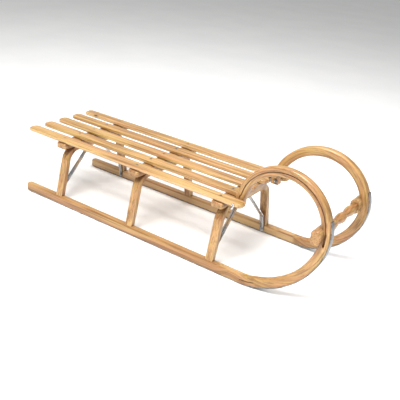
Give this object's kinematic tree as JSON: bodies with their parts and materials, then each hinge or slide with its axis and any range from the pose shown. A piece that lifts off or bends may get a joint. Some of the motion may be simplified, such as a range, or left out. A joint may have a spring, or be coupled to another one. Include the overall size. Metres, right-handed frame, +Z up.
{
  "type": "horn sled",
  "caption": "Wooden horn sled with bent beech runners curled up into horns, a slatted seat on bent trestle bows, steel struts and running strips, and a turned handle bar between the horns.",
  "frame": {"origin": "middle of the footprint, on the ground under the running strips", "axes": "+X forwards, towards the horns; +Y to the sled's left; +Z up"},
  "size_m": [1.184, 0.368, 0.3844],
  "materials": {
    "beech_slat": "clear satin lacquer over steamed beech",
    "beech_bent": "clear satin lacquer over bent beech",
    "beech_handle": "clear satin lacquer over turned beech",
    "strip_steel": "plain rolled steel, lightly worn",
    "strut_steel": "galvanised",
    "screw_steel": "zinc plated",
    "bolt_steel": "bright zinc plate"
  },
  "bodies": {
    "root": {"seat_slat_left_outer": "beech_slat", "seat_slat_left_inner": "beech_slat", "seat_slat_centre": "beech_slat", "seat_slat_right_inner": "beech_slat", "seat_slat_right_outer": "beech_slat", "crossbar_front": "beech_slat", "crossbar_middle": "beech_slat", "crossbar_rear": "beech_slat", "trestle_bow_front": "beech_bent", "trestle_bow_middle": "beech_bent", "trestle_bow_rear": "beech_bent", "runner_left": "beech_bent", "runner_right": "beech_bent", "handle_bar": "beech_handle", "running_strip_left": "strip_steel", "running_strip_right": "strip_steel", "strut_front_left": "strut_steel", "strut_front_right": "strut_steel", "strut_rear_left": "strut_steel", "strut_rear_right": "strut_steel", "slat_screws_long": "screw_steel", "slat_screws_short": "screw_steel", "strut_screws": "screw_steel", "strip_screws_left": "screw_steel", "strip_screws_right": "screw_steel", "handle_screws": "screw_steel", "horn_bolts": "bolt_steel", "horn_washers": "bolt_steel", "horn_nuts": "bolt_steel"}
  },
  "joints": []
}
